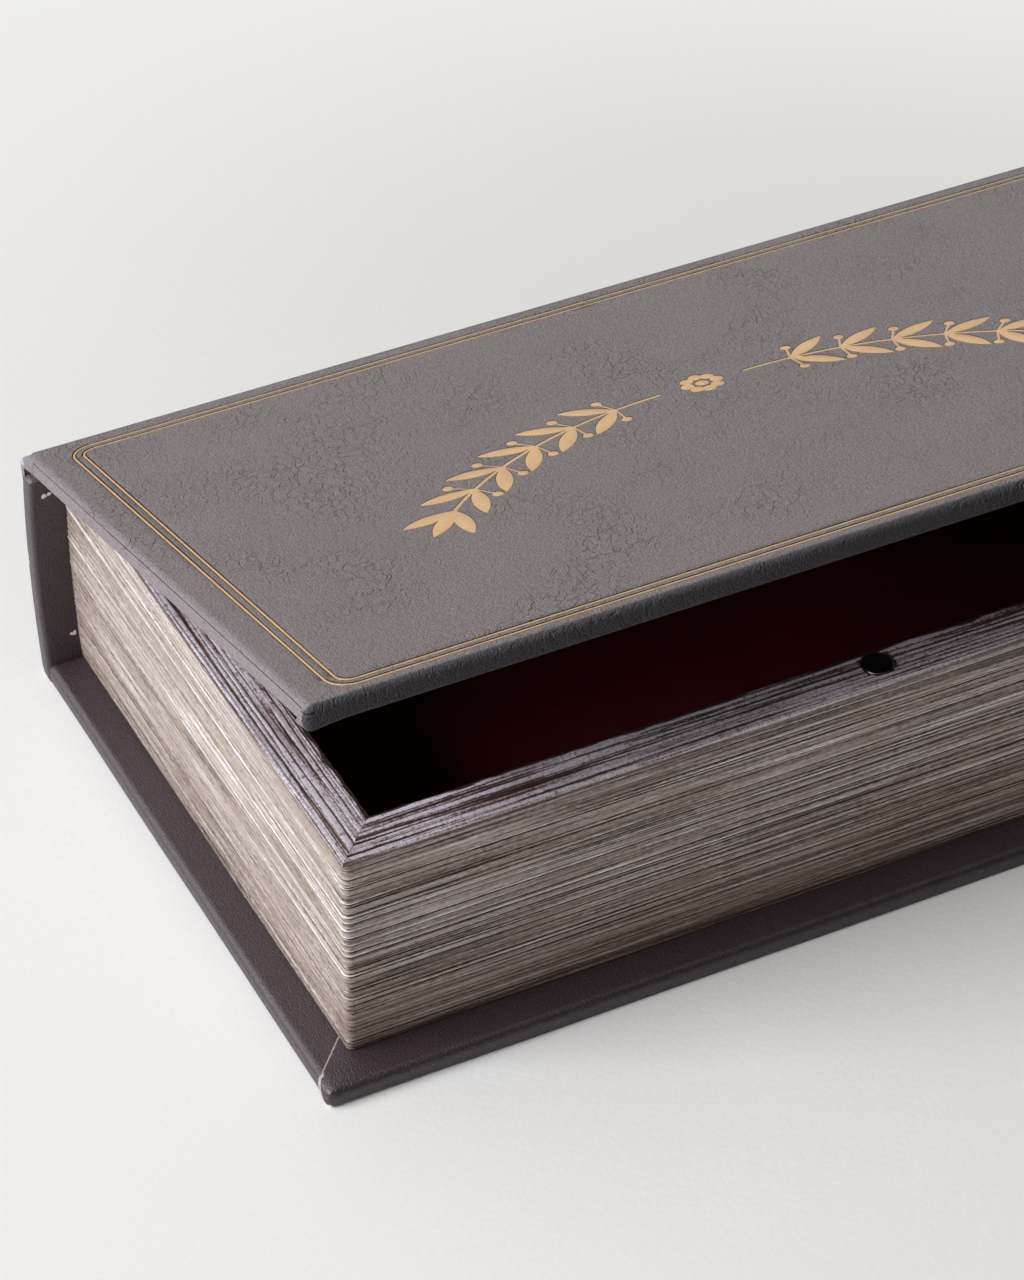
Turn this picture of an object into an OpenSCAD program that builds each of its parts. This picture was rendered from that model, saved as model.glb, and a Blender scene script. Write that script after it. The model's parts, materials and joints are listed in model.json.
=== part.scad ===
// Keepsake box made like a large hardback book: a hollow tray with page-edge sides,
// glued into a leatherette case whose front cover swings up on the joint at the spine.
// X runs from the spine to the page edge at the front, Y from tail to head, Z up.
// The origin is on the table, under the middle of the tray.

/* [Tray] */
// Width of the tray, from the foot of its spine side to the page edge at the front
tray_w = 154.5; // [110:0.5:220]
// Length of the tray over its page edges
tray_l = 273; // [180:1:360]
// Height of the tray with its rim
tray_h = 57; // [30:1:90]
// Thickness of the tray walls
wall_t = 10; // [6:0.5:14]
// Thickness of the board that closes the tray below
floor_t = 2.5; // [1.5:0.5:5]
// Thickness of the embossed page-edge wrap
page_t = 1.2; // [0.8:0.1:2]
// Radius of the wrap at its two front corners
page_r = 2; // [1:0.1:3]
// Thickness of the mitred rim strips
rim_t = 1; // [0.6:0.1:2]
// Thickness of the lining inside the tray
lining_t = 0.5; // [0.3:0.1:1]

/* [Case] */
// Thickness of the three cover boards
board_t = 3; // [2:0.5:5]
// Thickness of the leatherette, outside and where it is turned in
leather_t = 0.9; // [0.5:0.1:1.5]
// How far the covers reach past the tray at the front
square_front = 9.5; // [4:0.5:14]
// How far the covers and the spine reach past the tray at head and tail
square_ends = 8.7; // [4:0.1:14]
// Width of the leatherette that is turned in over the boards
turn_in = 18; // [14:1:30]
// Radius of the covers' corners and long edges
edge_r = 1.4; // [0.5:0.1:2.2]
// Gap in the boards at the foot of the spine, where the leatherette bends
back_joint = 2.4; // [1:0.1:6]
// How far the spine bows out between its foot and its top
spine_bow = 2.4; // [0.5:0.1:4]
// How far the top of the spine leans out past its foot
spine_lean = 2.3; // [0:0.1:4]

/* [Front cover] */
// Angle at which the front cover stands open
cover_open = 15.2; // [0:0.1:90]
// How far below level the front cover can swing back behind the spine
lay_back = 20; // [0:1:24]
// Radius of the rolled leatherette joint that the front cover turns on
joint_r = 2.7; // [2:0.1:3.5]
// Distance of the joint's axis behind the spine's inner face
joint_in = 1.1; // [0.6:0.1:2]
// Air between moving faces, and between the closed cover and the rim
play = 0.3; // [0.2:0.05:0.6]

/* [Magnet] */
// Diameter of the magnet in the front rim
magnet_d = 7.5; // [5:0.5:9]
// Thickness of the magnet
magnet_t = 2.2; // [1.5:0.1:4]
// Distance of the magnet's middle from the page edge at the front
magnet_in = 7; // [6:0.5:8]
// How far the magnet stands above the rim
magnet_proud = 0.2; // [0:0.05:0.25]
// Diameter of the steel keeper in the front cover
keeper_d = 10; // [6:0.5:16]
// Thickness of the steel keeper
keeper_t = 1; // [0.5:0.1:1.8]

/* [Gold foil] */
// Width of the two gold rules
rule_w = 0.7; // [0.4:0.1:1.5]
// Distance between the two rules, middle to middle
rule_step = 2.4; // [1.5:0.1:4]
// Distance of the outer rule from the cover's front edge
rule_front = 4.8; // [3:0.1:12]
// Distance of the outer rule from the cover's head and tail edges
rule_ends = 8.9; // [3:0.1:14]
// Distance of the outer rule from the joint's axis
rule_spine = 4.2; // [4:0.1:14]
// Corner radius of the outer rule
rule_r = 6; // [4.5:0.5:12]
// Thickness of the foil
foil_t = 0.1; // [0.05:0.05:0.3]
// Length of each leaf on the two sprigs
leaf_l = 14; // [8:0.5:20]
// Width of each leaf
leaf_w = 4; // [2:0.1:6]
// Pairs of leaves on each sprig
leaf_pairs = 6; // [2:1:7]
// Distance along the stem from one pair of leaves to the next
leaf_step = 12.5; // [10:0.5:14]
// Radius that the stems are bent to
stem_r = 95; // [80:1:160]
// Width of the stems
stem_w = 0.9; // [0.5:0.1:1.5]
// Diameter of the berries
berry_d = 2.6; // [1.5:0.1:4]
// Distance of the berries from the middle of the stem
berry_out = 6.5; // [4:0.1:9]
// Angle between a leaf and its stem
leaf_angle = 38; // [25:1:60]
// Angle between a berry's stalk and the stem
berry_angle = 80; // [60:1:100]
// Diameter of the rosette between the sprigs
rosette_d = 11; // [8:0.5:16]
// How far behind the middle of the cover the rosette lies
rosette_back = 14; // [0:1:20]

/* [Hidden] */
$fn = 64;
arc_fn = 720;
far = 1000;
// Past the spine's inner face on either side, for blocks that the face trims
spine_room = 30;

cover_t = board_t + 2 * leather_t;
tray_top = cover_t + tray_h;
wall_top = tray_top - rim_t;
wall_foot = cover_t + floor_t;
lining_foot = wall_foot + lining_t;
fore_x = tray_w / 2;
rear_x = -tray_w / 2;
end_y = tray_l / 2;
core_fore_x = fore_x - page_t;
core_end_y = end_y - page_t;
wall_fore_x = core_fore_x - wall_t;
wall_rear_x = rear_x + page_t + wall_t;
wall_end_y = core_end_y - wall_t;
open_fore_x = wall_fore_x - lining_t;
open_rear_x = wall_rear_x + lining_t;
open_end_y = wall_end_y - lining_t;

// The spine's inner face is part of a cylinder through its foot and its top.
chord_dx = -spine_lean;
chord_l = sqrt(tray_h * tray_h + chord_dx * chord_dx);
spine_r = (chord_l * chord_l / 4 + spine_bow * spine_bow) / (2 * spine_bow);
spine_cx = rear_x + chord_dx / 2 + (spine_r - spine_bow) * tray_h / chord_l;
spine_cz = cover_t + tray_h / 2 - (spine_r - spine_bow) * chord_dx / chord_l;
function spine_x(z, out) = spine_cx - sqrt(pow(spine_r + out, 2) - pow(z - spine_cz, 2));

cover_fore_x = fore_x + square_front;
cover_end_y = end_y + square_ends;
hinge_x = rear_x - spine_lean - joint_in;
hinge_z = tray_top + play + cover_t - joint_r;
spine_back = hinge_x - spine_x(hinge_z - 2 * joint_r, cover_t);
spine_top = hinge_z - (joint_r + spine_back * sin(lay_back)) / cos(lay_back) - play;
cover_reach = cover_fore_x - hinge_x;
cover_rear = joint_r + play;
cover_low = joint_r - cover_t;
magnet_x = fore_x - magnet_in;
keeper_u = magnet_x - hinge_x;
board_u = cover_rear + leather_t;
paste_u = cover_rear + 2 * leather_t;

leather_colour = "#6b625f";
turned_in_colour = "#453a3b";
board_colour = "#a08c72";
fibre_colour = "#b59a78";
page_colour = "#a39482";
rim_colour = "#5b4c4f";
lining_colour = "#4a0d12";
gold_colour = "#c39c5b";

// Rectangle from (x0, y0) to (x1, y1) with its four corners rounded.
module rounded_rect(x0, y0, x1, y1, r) {
    translate([x0 + r, y0]) square([x1 - x0 - 2 * r, y1 - y0]);
    translate([x0, y0 + r]) square([x1 - x0, y1 - y0 - 2 * r]);
    for (x = [x0 + r, x1 - r], y = [y0 + r, y1 - r]) translate([x, y]) circle(r = r);
}

// Extrudes an outline drawn in X and Z along Y, centred on Y = 0.
module along_y(length) {
    rotate([90, 0, 0]) linear_extrude(height = length, center = true) children();
}

// Extrudes an outline drawn in Y and Z along X, from x0 to x1.
module along_x(x0, x1) {
    translate([x0, 0, 0]) rotate([90, 0, 90]) linear_extrude(height = x1 - x0) children();
}

// Block between two corners.
module block(low, high) {
    translate(low) cube(high - low);
}

// Slab with every edge and corner rounded.
module soft_slab(x0, x1, half_y, z0, z1, r) {
    intersection() {
        translate([0, 0, z0]) linear_extrude(height = z1 - z0)
            rounded_rect(x0, -half_y, x1, half_y, r);
        along_y(2 * half_y) rounded_rect(x0, z0, x1, z1, r);
        along_x(x0, x1) rounded_rect(-half_y, z0, half_y, z1, r);
    }
}

// Everything in front of a face that lies "out" behind the spine's inner face.
module before_spine(out) {
    translate([spine_cx, 0, spine_cz]) rotate([90, 0, 0])
        cylinder(r = spine_r + out, h = far, center = true, $fn = arc_fn);
}

// Curved plate of the spine between two depths, two heights and two ends.
module spine_plate(inner, outer, z0, z1, half_y) {
    intersection() {
        difference() {
            before_spine(outer);
            before_spine(inner);
        }
        block([rear_x - spine_room, -half_y, z0], [rear_x + spine_room, half_y, z1]);
    }
}

module back_board_shape() {
    block([rear_x + back_joint, leather_t - cover_end_y, leather_t],
          [cover_fore_x - leather_t, cover_end_y - leather_t, leather_t + board_t]);
}

module back_lining_shape() {
    block([rear_x + back_joint, turn_in - cover_end_y, leather_t + board_t],
          [cover_fore_x - turn_in, cover_end_y - turn_in, cover_t]);
}

module spine_board_shape() {
    spine_plate(leather_t, leather_t + board_t, leather_t, spine_top - leather_t,
                cover_end_y - leather_t);
}

module spine_lining_shape() {
    spine_plate(0, leather_t, cover_t, spine_top - leather_t, cover_end_y - turn_in);
}

// What rounds the outer corner at the foot of the spine, seen from the tail.
module foot_corner() {
    difference() {
        translate([-edge_r, -edge_r]) square(2 * edge_r);
        translate([edge_r, edge_r]) circle(r = edge_r);
    }
}

// One sheet of leatherette round the back board and the spine, up to the rolled joint.
module case_leather() {
    color(leather_colour) difference() {
        union() {
            soft_slab(rear_x - edge_r, cover_fore_x, cover_end_y, 0, cover_t, edge_r);
            difference() {
                spine_plate(0, cover_t, 0, spine_top, cover_end_y);
                along_y(far) translate([spine_x(edge_r, cover_t), 0]) foot_corner();
            }
            block([hinge_x - joint_r / 2, -cover_end_y, spine_top - leather_t],
                  [hinge_x + joint_in - play, cover_end_y, hinge_z]);
            translate([hinge_x, 0, hinge_z]) rotate([90, 0, 0])
                cylinder(r = joint_r, h = 2 * cover_end_y, center = true);
        }
        back_board_shape();
        back_lining_shape();
        spine_board_shape();
        spine_lining_shape();
    }
}

module back_board() {
    color(board_colour) back_board_shape();
}

module back_lining() {
    color(turned_in_colour) back_lining_shape();
}

module spine_board() {
    color(board_colour) spine_board_shape();
}

module spine_lining() {
    color(turned_in_colour) spine_lining_shape();
}

module tray_floor() {
    color(board_colour) intersection() {
        block([rear_x - spine_room, -core_end_y, cover_t],
              [core_fore_x, core_end_y, wall_foot]);
        before_spine(0);
    }
}

module fore_edge_wall() {
    color(fibre_colour) difference() {
        block([wall_fore_x, -core_end_y, wall_foot], [core_fore_x, core_end_y, wall_top]);
        magnet_shape();
    }
}

module spine_side_wall() {
    color(fibre_colour) intersection() {
        block([rear_x - spine_room, -core_end_y, wall_foot],
              [wall_rear_x, core_end_y, wall_top]);
        before_spine(0);
    }
}

module end_wall() {
    block([wall_rear_x, wall_end_y, wall_foot], [wall_fore_x, core_end_y, wall_top]);
}

module head_wall() {
    color(fibre_colour) end_wall();
}

module tail_wall() {
    color(fibre_colour) mirror([0, 1, 0]) end_wall();
}

// Outline of the tray from above. The spine's face trims it at the rear.
module tray_outline() {
    rounded_rect(rear_x - spine_room, -end_y, fore_x, end_y, page_r);
}

module page_edge_wrap() {
    color(page_colour) intersection() {
        difference() {
            translate([0, 0, cover_t]) linear_extrude(height = wall_top - cover_t) tray_outline();
            block([-far, -core_end_y, 0], [core_fore_x, core_end_y, far]);
        }
        before_spine(0);
    }
}

// The ring of the rim, from which each mitred strip is cut.
module rim_ring() {
    intersection() {
        difference() {
            translate([0, 0, wall_top]) linear_extrude(height = rim_t) tray_outline();
            block([open_rear_x, -open_end_y, 0], [open_fore_x, open_end_y, far]);
            magnet_shape();
        }
        before_spine(0);
    }
}

// Corners of the rim's inner and outer edges. A mitre runs through both, and on past them.
// At the spine it leaves through the tray's end, just in front of the corner.
function rim_in(side) = [side[0] > 0 ? open_fore_x : open_rear_x, side[1] * open_end_y];
function rim_out(side) = [side[0] > 0 ? fore_x : spine_x(tray_top, 0) + rim_t, side[1] * end_y];
function past_rim(side) = rim_in(side) + 2 * (rim_out(side) - rim_in(side));

module rim_strip(from, to) {
    color(rim_colour) intersection() {
        rim_ring();
        linear_extrude(height = far)
            polygon([rim_in(from), past_rim(from), past_rim(to), rim_in(to)]);
    }
}

module fore_edge_rim() {
    rim_strip([1, -1], [1, 1]);
}

module spine_side_rim() {
    rim_strip([-1, 1], [-1, -1]);
}

module head_rim() {
    rim_strip([1, 1], [-1, 1]);
}

module tail_rim() {
    rim_strip([-1, -1], [1, -1]);
}

module floor_lining() {
    color(lining_colour)
        block([wall_rear_x, -wall_end_y, wall_foot], [wall_fore_x, wall_end_y, lining_foot]);
}

module fore_edge_lining() {
    color(lining_colour)
        block([open_fore_x, -wall_end_y, lining_foot], [wall_fore_x, wall_end_y, wall_top]);
}

module spine_side_lining() {
    color(lining_colour)
        block([wall_rear_x, -wall_end_y, lining_foot], [open_rear_x, wall_end_y, wall_top]);
}

module end_lining() {
    block([open_rear_x, open_end_y, lining_foot], [open_fore_x, wall_end_y, wall_top]);
}

module head_lining() {
    color(lining_colour) end_lining();
}

module tail_lining() {
    color(lining_colour) mirror([0, 1, 0]) end_lining();
}

module magnet_shape() {
    translate([magnet_x, 0, tray_top + magnet_proud - magnet_t])
        cylinder(d = magnet_d, h = magnet_t);
}

module rim_magnet() {
    color("#2b2728") magnet_shape();
}

// Places what is drawn closed and level, with the joint's axis as its origin.
module on_front_cover() {
    translate([hinge_x, 0, hinge_z]) rotate([0, -cover_open, 0]) children();
}

module front_board_shape() {
    difference() {
        block([board_u, leather_t - cover_end_y, cover_low + leather_t],
              [cover_reach - leather_t, cover_end_y - leather_t, cover_low + leather_t + board_t]);
        keeper_shape();
    }
}

module keeper_shape() {
    translate([keeper_u, 0, cover_low + leather_t]) cylinder(d = keeper_d, h = keeper_t);
}

module pastedown_shape() {
    block([paste_u, turn_in - cover_end_y, cover_low],
          [cover_reach - turn_in, cover_end_y - turn_in, cover_low + leather_t]);
}

module front_leather() {
    color(leather_colour) on_front_cover() difference() {
        intersection() {
            soft_slab(cover_rear - 2 * edge_r, cover_reach, cover_end_y, cover_low, joint_r, edge_r);
            block([cover_rear, -far, -far], [far, far, far]);
        }
        front_board_shape();
        keeper_shape();
        pastedown_shape();
    }
}

module front_board() {
    color(board_colour) on_front_cover() front_board_shape();
}

module front_pastedown() {
    color(turned_in_colour) on_front_cover() pastedown_shape();
}

module front_keeper() {
    color("silver") on_front_cover() keeper_shape();
}

// A rule with rounded corners, "step" inside the outer one.
module rule(step) {
    on_front_cover() translate([0, 0, joint_r]) linear_extrude(height = foil_t) difference() {
        rule_outline(step - rule_w / 2);
        rule_outline(step + rule_w / 2);
    }
}

module rule_outline(inset) {
    rounded_rect(rule_spine + inset, rule_ends + inset - cover_end_y,
                 cover_reach - rule_front - inset, cover_end_y - rule_ends - inset,
                 rule_r - inset);
}

module gold_rule_outer() {
    color(gold_colour) rule(0);
}

module gold_rule_inner() {
    color(gold_colour) rule(rule_step);
}

// A leaf that points along +X: two arcs that meet in a tip at each end.
module leaf() {
    r = (leaf_l * leaf_l + leaf_w * leaf_w) / (4 * leaf_w);
    translate([leaf_l / 2, 0]) intersection() {
        translate([0, leaf_w / 2 - r]) circle(r = r, $fn = arc_fn);
        translate([0, r - leaf_w / 2]) circle(r = r, $fn = arc_fn);
    }
}

// One sprig, which starts at the rosette and bends towards the cover's front edge.
module sprig() {
    turn = leaf_step / stem_r * 180 / PI;
    stem_turn = turn * leaf_pairs;
    translate([stem_r, 0]) {
        intersection() {
            difference() {
                circle(r = stem_r + stem_w / 2, $fn = arc_fn);
                circle(r = stem_r - stem_w / 2, $fn = arc_fn);
            }
            polygon([[0, 0], [-2 * stem_r, 0], 2 * stem_r * [-cos(stem_turn), sin(stem_turn)]]);
        }
        for (pair = [1:leaf_pairs - 1], side = [-1, 1]) on_stem(turn * pair) {
            rotate(90 - side * leaf_angle) leaf();
            rotate(90 - side * berry_angle) berry();
        }
        on_stem(stem_turn) translate([0, -stem_w])
            for (side = [-1, 0, 1]) rotate(90 - side * leaf_angle) leaf();
    }
}

// Places what is drawn at the origin, with the stem along Y, at an angle along the stem.
module on_stem(angle) {
    rotate(-angle) translate([-stem_r, 0]) children();
}

// A berry on a short stalk along +X.
module berry() {
    translate([berry_out, 0]) circle(d = berry_d);
    translate([0, -stem_w / 3]) square([berry_out, 2 * stem_w / 3]);
}

// Draws flat foil on the cover, from the middle of the rosette.
module foil() {
    color(gold_colour) on_front_cover()
        translate([cover_reach / 2 - rosette_back, 0, joint_r])
            linear_extrude(height = foil_t) children();
}

module gold_rosette() {
    petals = 8;
    petal_d = 0.3 * rosette_d;
    foil() {
        circle(d = petal_d);
        for (petal = [1:petals]) rotate(petal * 360 / petals)
            translate([(rosette_d - petal_d) / 2, 0]) circle(d = petal_d);
    }
}

module gold_sprig_head() {
    foil() translate([0, rosette_d]) sprig();
}

module gold_sprig_tail() {
    foil() mirror([0, 1]) translate([0, rosette_d]) sprig();
}

case_leather();
back_board();
back_lining();
spine_board();
spine_lining();
tray_floor();
fore_edge_wall();
spine_side_wall();
head_wall();
tail_wall();
page_edge_wrap();
fore_edge_rim();
spine_side_rim();
head_rim();
tail_rim();
floor_lining();
fore_edge_lining();
spine_side_lining();
head_lining();
tail_lining();
rim_magnet();
front_leather();
front_board();
front_pastedown();
front_keeper();
gold_rule_outer();
gold_rule_inner();
gold_rosette();
gold_sprig_head();
gold_sprig_tail();
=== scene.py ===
# %% [markdown]
# A keepsake box that looks like a large hardback book.
# A hollow tray with page-edge sides is glued into a leatherette case. The front cover swings
# up on the leatherette joint at the top of the spine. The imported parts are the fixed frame:
# they say where everything is, and this lesson gives them their skin, relief and light.

import contextlib
import json
import math
import random

import bmesh
import bpy
from mathutils import Matrix, Vector, noise

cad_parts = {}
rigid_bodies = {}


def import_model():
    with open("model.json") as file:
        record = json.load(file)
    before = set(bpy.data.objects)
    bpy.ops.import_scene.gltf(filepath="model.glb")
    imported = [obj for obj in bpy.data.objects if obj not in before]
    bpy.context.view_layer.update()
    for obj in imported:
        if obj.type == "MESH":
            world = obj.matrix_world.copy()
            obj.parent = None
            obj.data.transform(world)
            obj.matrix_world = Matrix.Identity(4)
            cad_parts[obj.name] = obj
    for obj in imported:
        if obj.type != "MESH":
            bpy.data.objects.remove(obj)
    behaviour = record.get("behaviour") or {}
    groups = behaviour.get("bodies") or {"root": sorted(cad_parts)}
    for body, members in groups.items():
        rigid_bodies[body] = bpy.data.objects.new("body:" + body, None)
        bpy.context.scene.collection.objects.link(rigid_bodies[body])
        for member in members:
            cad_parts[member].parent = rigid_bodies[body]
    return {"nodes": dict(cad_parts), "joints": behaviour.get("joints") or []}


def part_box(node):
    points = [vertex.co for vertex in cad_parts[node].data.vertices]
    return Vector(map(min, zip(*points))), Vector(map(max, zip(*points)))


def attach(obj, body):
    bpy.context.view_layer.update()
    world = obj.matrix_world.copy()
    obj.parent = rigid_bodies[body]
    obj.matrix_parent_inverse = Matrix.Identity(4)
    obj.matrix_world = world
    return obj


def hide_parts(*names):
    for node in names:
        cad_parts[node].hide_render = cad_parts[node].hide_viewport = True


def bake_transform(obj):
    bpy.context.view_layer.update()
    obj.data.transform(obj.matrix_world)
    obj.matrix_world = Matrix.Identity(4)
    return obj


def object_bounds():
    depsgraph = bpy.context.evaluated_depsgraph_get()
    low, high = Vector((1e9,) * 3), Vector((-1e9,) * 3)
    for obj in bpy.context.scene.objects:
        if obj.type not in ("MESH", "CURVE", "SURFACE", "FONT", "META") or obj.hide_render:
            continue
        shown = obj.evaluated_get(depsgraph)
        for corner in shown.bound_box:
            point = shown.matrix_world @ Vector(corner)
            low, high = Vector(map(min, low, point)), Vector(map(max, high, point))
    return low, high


for leftover in list(bpy.data.objects):
    bpy.data.objects.remove(leftover)
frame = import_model()
cad_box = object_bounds()
mm = 0.001
cad_size = cad_box[1] - cad_box[0]
print("parts:", len(frame["nodes"]), "box in mm:", [round(s / mm, 1) for s in cad_size])

# %% [markdown]
# The front cover turns on one hinge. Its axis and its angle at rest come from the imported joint.
# What rides on the front cover is modelled closed and level, with the hinge axis as its origin,
# because a flat slab is easy to work on. One matrix then swings it to where it stands.

# %% Where the front cover stands
hinge = frame["joints"][0]
hinge_place = Vector(hinge["pos_m"])
cover_angle = math.radians(-hinge["range_deg"][0])
cover_place = Matrix.Translation(hinge_place) @ Matrix.Rotation(-cover_angle, 4, "Y")
level = cover_place.inverted()


def level_box(node):
    """Lowest and highest corner of a part of the front cover, closed and level."""
    points = [level @ v.co for v in frame["nodes"][node].data.vertices]
    return (Vector([min(p[i] for p in points) for i in range(3)]),
            Vector([max(p[i] for p in points) for i in range(3)]))


cover_low, cover_high = level_box("front_leather")
paste_low, paste_high = level_box("front_pastedown")
foil_low, foil_high = level_box("gold_rule_outer")
print("cover stands open at", round(math.degrees(cover_angle), 1), "degrees")

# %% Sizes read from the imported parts
case_low, case_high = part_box("case_leather")
wrap_low, wrap_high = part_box("page_edge_wrap")
rim_low, rim_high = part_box("fore_edge_rim")
magnet_low, magnet_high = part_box("rim_magnet")
hall_rear_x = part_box("spine_side_lining")[1].x
back_top = wrap_low.z
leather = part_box("back_board")[0].z
spine_fuller = 0.45 * mm
spine_out = back_top + spine_fuller
spine_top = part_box("spine_board")[1].z + leather
turn_in = cover_high.x - paste_high.x
print("turned-in edge in mm:", round(turn_in / mm, 1))

# %% [markdown]
# The spine's inner face is part of a cylinder along Y. A circle through three points of the
# spine's lining finds the middle and the radius of that curve.

# %% The curve of the spine


def circle_through(a, b, c):
    """Middle and radius of the circle through three points, each (x, z)."""
    twice = 2 * (a[0] * (b[1] - c[1]) + b[0] * (c[1] - a[1]) + c[0] * (a[1] - b[1]))
    sa, sb, sc = (p[0] ** 2 + p[1] ** 2 for p in (a, b, c))
    x = (sa * (b[1] - c[1]) + sb * (c[1] - a[1]) + sc * (a[1] - b[1])) / twice
    z = (sa * (c[0] - b[0]) + sb * (a[0] - c[0]) + sc * (b[0] - a[0])) / twice
    return (x, z), math.hypot(a[0] - x, a[1] - z)


def inner_points():
    """One (x, z) for each height at which the spine's lining has corners, on its front face."""
    front = {}
    for v in frame["nodes"]["spine_lining"].data.vertices:
        height = round(v.co.z, 4)
        front[height] = max(front.get(height, -1), v.co.x)
    return [(front[height], height) for height in sorted(front)]


curve = inner_points()
curve_middle, curve_r = circle_through(curve[0], curve[len(curve) // 2], curve[-1])


def spine_x(z, out=0.0):
    """Where the spine's face lies at a height, so far behind its inner face."""
    return curve_middle[0] - math.sqrt((curve_r + out) ** 2 - (z - curve_middle[1]) ** 2)


print("spine radius in mm:", round(curve_r / mm, 1), "foot:", round(spine_x(back_top) / mm, 2))

# %% [markdown]
# The camera stands where the photographer stood: in front of the box's lower near corner, about
# a metre away and 40 degrees above the table. A long lens keeps the box's edges nearly
# parallel. The whole picture is 1024 by 1280, so the sensor's 36 mm is the picture's height.

# %% Camera
picture_height = 1280
focal_pixels = 4472.75
sensor_mm = 36.0
camera_at = Vector((0.72509, -0.42423, 0.7075))
looked_at = Vector((0.01316, -0.06366, 0.05))
camera_roll = math.radians(0.2436)

scene = bpy.context.scene
camera = bpy.data.objects.new("camera", bpy.data.cameras.new("camera"))
scene.collection.objects.link(camera)
camera.data.sensor_width = sensor_mm
camera.data.lens = focal_pixels * sensor_mm / picture_height
camera.data.clip_start = 0.01
camera.data.clip_end = 100
camera.location = camera_at
aim = (looked_at - camera_at).to_track_quat("-Z", "Y")
camera.rotation_mode = "QUATERNION"
camera.rotation_quaternion = aim @ Matrix.Rotation(camera_roll, 3, "Z").to_quaternion()
scene.camera = camera
print("lens in mm:", round(camera.data.lens, 1))

# %% [markdown]
# A material is easier to read as a sum than as a web of nodes. This small class wraps one
# output of a node, so that plus, minus and times add the Math nodes by themselves.

# %% Shader maths


class Wire:
    """One output of a shader node. Arithmetic on it adds Math nodes."""

    def __init__(self, nodes, socket):
        self.nodes = nodes
        self.socket = socket

    def math(self, operation, *values, clamp=False):
        return self.nodes.node("Math", dict(enumerate(values)), operation=operation,
                               use_clamp=clamp)

    def __add__(self, other):
        return self.math("ADD", self, other)

    def __sub__(self, other):
        return self.math("SUBTRACT", self, other)

    def __rsub__(self, other):
        return self.math("SUBTRACT", other, self)

    def __mul__(self, other):
        return self.math("MULTIPLY", self, other)

    __radd__ = __add__
    __rmul__ = __mul__

    def kept(self):
        """The same value, held between 0 and 1."""
        return self.math("ADD", self, 0.0, clamp=True)

    def rise(self, start, end):
        """0 up to start, 1 from end on, and a soft step between them."""
        return self.nodes.node("MapRange", {"Value": self, "From Min": start, "From Max": end},
                               interpolation_type="SMOOTHSTEP")


# %% [markdown]
# The next class makes any other node: its settings first, then what goes into its sockets. A
# finish is such a set of nodes with a shader at its end.

# %% Nodes and finishes


def colour(code):
    """A web colour code as the linear red, green, blue and alpha that the shader wants."""
    parts = [int(code[i:i + 2], 16) / 255 for i in (1, 3, 5)]
    return [p / 12.92 if p < 0.04045 else ((p + 0.055) / 1.055) ** 2.4 for p in parts] + [1.0]


class Nodes:
    """A node tree that is built by calls."""

    def __init__(self, tree):
        self.tree = tree

    def feed(self, socket, value):
        """Gives a socket a wire, a number or a web colour code."""
        if isinstance(value, Wire):
            self.tree.links.new(value.socket, socket)
        else:
            socket.default_value = colour(value) if isinstance(value, str) else value

    def node(self, kind, sockets=None, out=0, **settings):
        """A new node. Its settings come first, because they can change its sockets."""
        made = self.tree.nodes.new("ShaderNode" + kind)
        for name, value in settings.items():
            setattr(made, name, value)
        for key, value in (sockets or {}).items():
            self.feed(made.inputs[key], value)
        return Wire(self, made.outputs[out])

    def vector(self, operation, *values, out=0):
        return self.node("VectorMath", dict(enumerate(values)), out, operation=operation)


class Finish(Nodes):
    """One material, as a shader and the nodes that feed it."""

    def __init__(self, name, **settings):
        self.material = bpy.data.materials.new(name)
        self.material.use_nodes = True
        super().__init__(self.material.node_tree)
        self.shader = self.tree.nodes["Principled BSDF"]
        for socket, value in settings.items():
            self.shader.inputs[socket.replace("_", " ")].default_value = value

    def here(self):
        """Place on the object, in metres."""
        return self.node("TexCoord", out="Object")

    def place(self, size=1.0):
        """Place in units of a size in millimetres, or of one size for each axis."""
        sizes = size if isinstance(size, tuple) else (size, size, size)
        return self.vector("MULTIPLY", self.here(), [1 / (mm * s) for s in sizes])

    def along(self, axis):
        """Place along one axis, in millimetres."""
        return self.node("SeparateXYZ", {0: self.place()}, axis)

    def cloud(self, size, detail=2.0, roughness=0.5, out=0):
        """Soft noise with lumps of a size."""
        return self.node("TexNoise", {"Vector": self.place(size), "Scale": 1.0,
                                      "Detail": detail, "Roughness": roughness}, out)

    def cells(self, feature, size, lump, by):
        """Cells of a size, bent here and there by soft noise with lumps of another size."""
        shift = self.cloud(lump, out="Color")
        place = self.vector("MULTIPLY_ADD", shift, (by, by, by), self.place(size))
        return self.node("TexVoronoi", {"Vector": place, "Scale": 1.0}, feature=feature)

    def near(self, spots):
        """1 at each spot (x, y, z, radius), in metres, and 0 from its radius on."""
        best = None
        for *spot, r in spots:
            close = 1 - self.vector("DISTANCE", self.here(), spot, out="Value") * (1 / r)
            best = best.math("MAXIMUM", best, close) if best else close
        return best

    def painted(self, name):
        """A value that the mesh carries at its corners."""
        return self.node("Attribute", out="Fac", attribute_name=name)

    def mix(self, factor, under, over):
        return self.node("Mix", {0: factor, 6: under, 7: over}, 2, data_type="RGBA")

    def bump(self, height, distance, normal=None):
        sockets = {"Height": height, "Distance": distance}
        if normal:
            sockets["Normal"] = normal
        return self.node("Bump", sockets)

    def drive(self, **sockets):
        for name, value in sockets.items():
            self.feed(self.shader.inputs[name.replace("_", " ")], value)
        return self.material


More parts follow.
